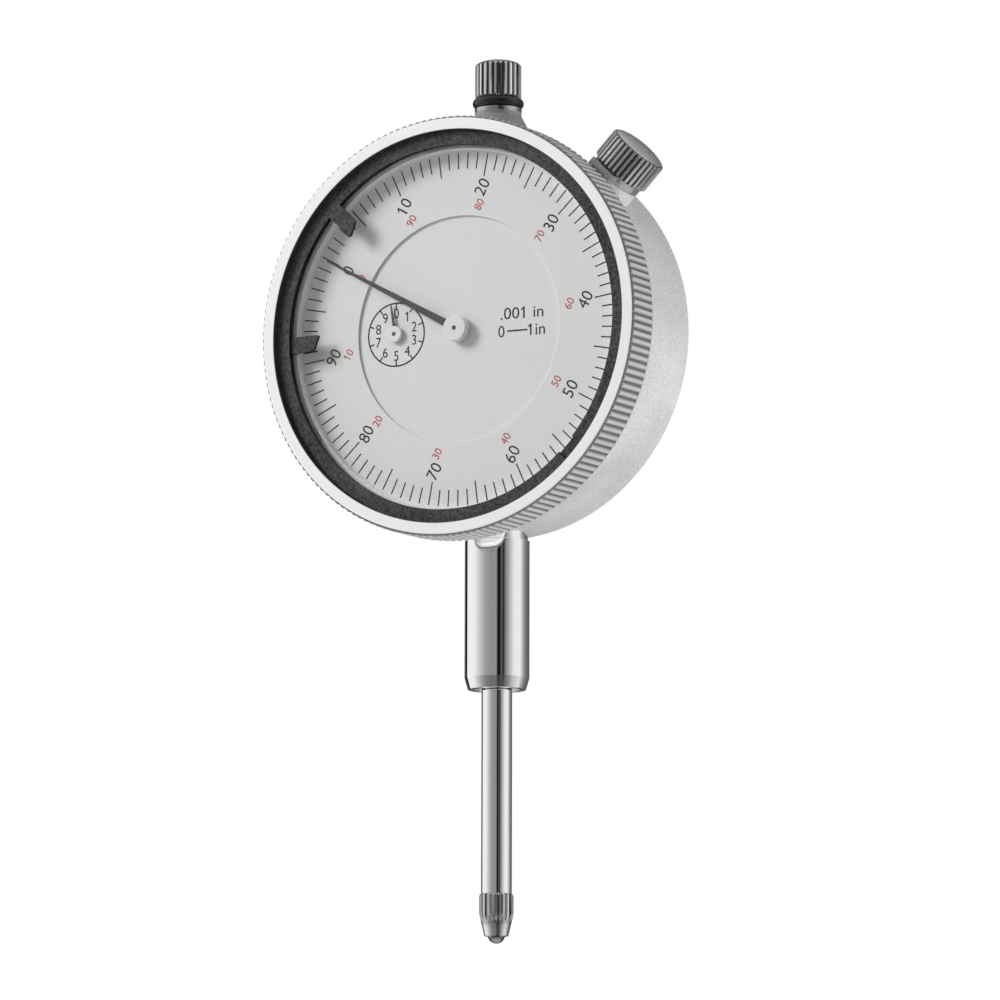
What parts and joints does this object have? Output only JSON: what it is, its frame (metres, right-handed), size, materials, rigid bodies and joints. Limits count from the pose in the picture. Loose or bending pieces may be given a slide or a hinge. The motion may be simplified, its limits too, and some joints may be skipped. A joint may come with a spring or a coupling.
{
  "type": "dial indicator",
  "caption": "Round dial indicator with a sprung spindle through its stem, a geared pointer, a turning bezel with limit markers and a lug on the back.",
  "frame": {"origin": "on the stem's axis, at mid height of the stem's clamping length", "axes": "dial faces -Y, +Z is the way the spindle moves when it is pushed in, +X is to the right seen from the front and runs along the lug hole"},
  "size_m": [0.062, 0.0343, 0.1311],
  "materials": {
    "case_aluminium": "satin",
    "back_aluminium": "satin",
    "bezel_aluminium": "turned",
    "knob_steel": "bright knurled",
    "chrome": "polished",
    "brass": "machined",
    "arbor_steel": "ground",
    "screw_steel": "turned",
    "spring_steel": "blued",
    "hub_steel": "turned",
    "hand_paint": "satin",
    "dial_paint": "matt printed",
    "crystal": "clear",
    "black_plastic": "moulded",
    "black_rubber": "moulded"
  },
  "bodies": {
    "case": {"case": "case_aluminium", "clamp_plate": "case_aluminium", "stem": "chrome", "stem_bush": "arbor_steel", "top_bush": "arbor_steel", "back_plate": "back_aluminium", "back_gasket": "black_rubber", "back_screws": "screw_steel", "front_plate": "brass", "movement_screws": "screw_steel", "middle_plate": "brass", "bridge_plate": "brass", "plate_pillars": "arbor_steel", "plate_spacers": "brass", "plate_screws": "screw_steel", "rack_bracket": "brass", "bracket_screws": "screw_steel", "inner_dial": "dial_paint", "guide_rail": "brass", "rail_screws": "screw_steel", "spring_post": "arbor_steel", "hairspring_stud": "arbor_steel", "hairspring": "spring_steel", "return_spring": "spring_steel"},
    "spindle": {"spindle": "chrome", "guide_pin": "arbor_steel", "contact_point": "chrome", "contact_ball": "chrome", "lifting_knob": "knob_steel", "bumper_ring": "black_rubber"},
    "rack_gear": {"rack_arbor": "arbor_steel", "rack_pinion": "brass", "drive_gear": "brass", "counter_drive_gear": "brass"},
    "center_gear": {"center_pinion": "arbor_steel", "main_hub": "hub_steel", "main_hand": "hand_paint"},
    "counter": {"counter_arbor": "arbor_steel", "counter_gear": "brass", "counter_hub": "hub_steel", "counter_hand": "hand_paint"},
    "take_up": {"take_up_arbor": "arbor_steel", "take_up_gear": "brass"},
    "bezel": {"bezel": "bezel_aluminium", "crystal": "crystal", "scale_ring": "dial_paint"},
    "front_marker": {"front_marker": "black_plastic"},
    "rear_marker": {"rear_marker": "black_plastic"},
    "clamp_knob": {"clamp_knob": "knob_steel"}
  },
  "joints": [
    {"name": "spindle_travel", "type": "slide", "parent": "case", "child": "spindle", "axis": [0, 0, 1], "range_m": [0, 0.0254], "stiffness_N_per_m": 15, "springref_m": -0.06, "deforming": ["return_spring"]},
    {"name": "rack_turn", "type": "hinge", "parent": "case", "child": "rack_gear", "pos_m": [-0.00595, -0.0121, 0.04678], "axis": [0, 1, 0], "range_deg": [-360, 0]},
    {"name": "center_turn", "type": "hinge", "parent": "case", "child": "center_gear", "pos_m": [0, -0.0121, 0.04], "axis": [0, 1, 0], "range_deg": [0, 3600]},
    {"name": "counter_turn", "type": "hinge", "parent": "case", "child": "counter", "pos_m": [-0.01055, -0.0121, 0.04], "axis": [0, 1, 0], "range_deg": [0, 360]},
    {"name": "take_up_turn", "type": "hinge", "parent": "case", "child": "take_up", "pos_m": [0.00595, -0.0121, 0.03322], "axis": [0, 1, 0], "range_deg": [-360, 0]},
    {"name": "bezel_turn", "type": "hinge", "parent": "case", "child": "bezel", "pos_m": [0, -0.0121, 0.04], "axis": [0, 1, 0], "continuous": true},
    {"name": "front_marker_turn", "type": "hinge", "parent": "bezel", "child": "front_marker", "pos_m": [0, -0.0121, 0.04], "axis": [0, 1, 0], "continuous": true},
    {"name": "rear_marker_turn", "type": "hinge", "parent": "bezel", "child": "rear_marker", "pos_m": [0, -0.0121, 0.04], "axis": [0, 1, 0], "continuous": true},
    {"name": "clamp_turn", "type": "hinge", "parent": "case", "child": "clamp_knob", "pos_m": [0, -0.0043, 0.04], "axis": [0.7071, 0, 0.7071], "range_deg": [0, 360]}
  ],
  "couplings": [
    {"joint": "rack_turn", "follows": "spindle_travel", "rad_per_m": -247.37},
    {"joint": "center_turn", "follows": "spindle_travel", "rad_per_m": 2473.7},
    {"joint": "counter_turn", "follows": "spindle_travel", "rad_per_m": 247.37},
    {"joint": "take_up_turn", "follows": "spindle_travel", "rad_per_m": -247.37}
  ]
}
